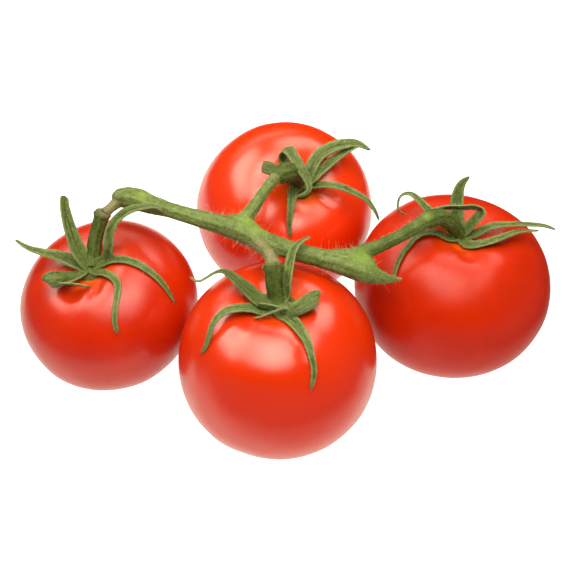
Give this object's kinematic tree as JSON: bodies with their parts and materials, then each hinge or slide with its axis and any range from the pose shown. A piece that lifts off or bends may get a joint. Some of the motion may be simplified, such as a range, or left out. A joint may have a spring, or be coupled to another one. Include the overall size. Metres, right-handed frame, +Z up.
{
  "type": "truss of tomatoes",
  "caption": "Ripe round tomatoes still joined by their stalks to one green stem, lying together on a surface, each with its star of curled sepals.",
  "frame": {"origin": "on the surface the truss lies on, under the middle of its bounding box", "axes": "+Z up; +X towards the right fruit, along the longest extent; +Y away from the front fruit"},
  "size_m": [0.1894, 0.1424, 0.0711],
  "materials": {
    "tomato_skin": "smooth glossy red skin",
    "calyx_green": "matte green sepals with fine hairs",
    "stem_green": "matte green stem with fine hairs"
  },
  "bodies": {
    "root": {"tomato_left": "tomato_skin", "calyx_left": "calyx_green", "tomato_front": "tomato_skin", "calyx_front": "calyx_green", "tomato_right": "tomato_skin", "calyx_right": "calyx_green", "tomato_back": "tomato_skin", "calyx_back": "calyx_green", "rachis": "stem_green"}
  },
  "joints": []
}
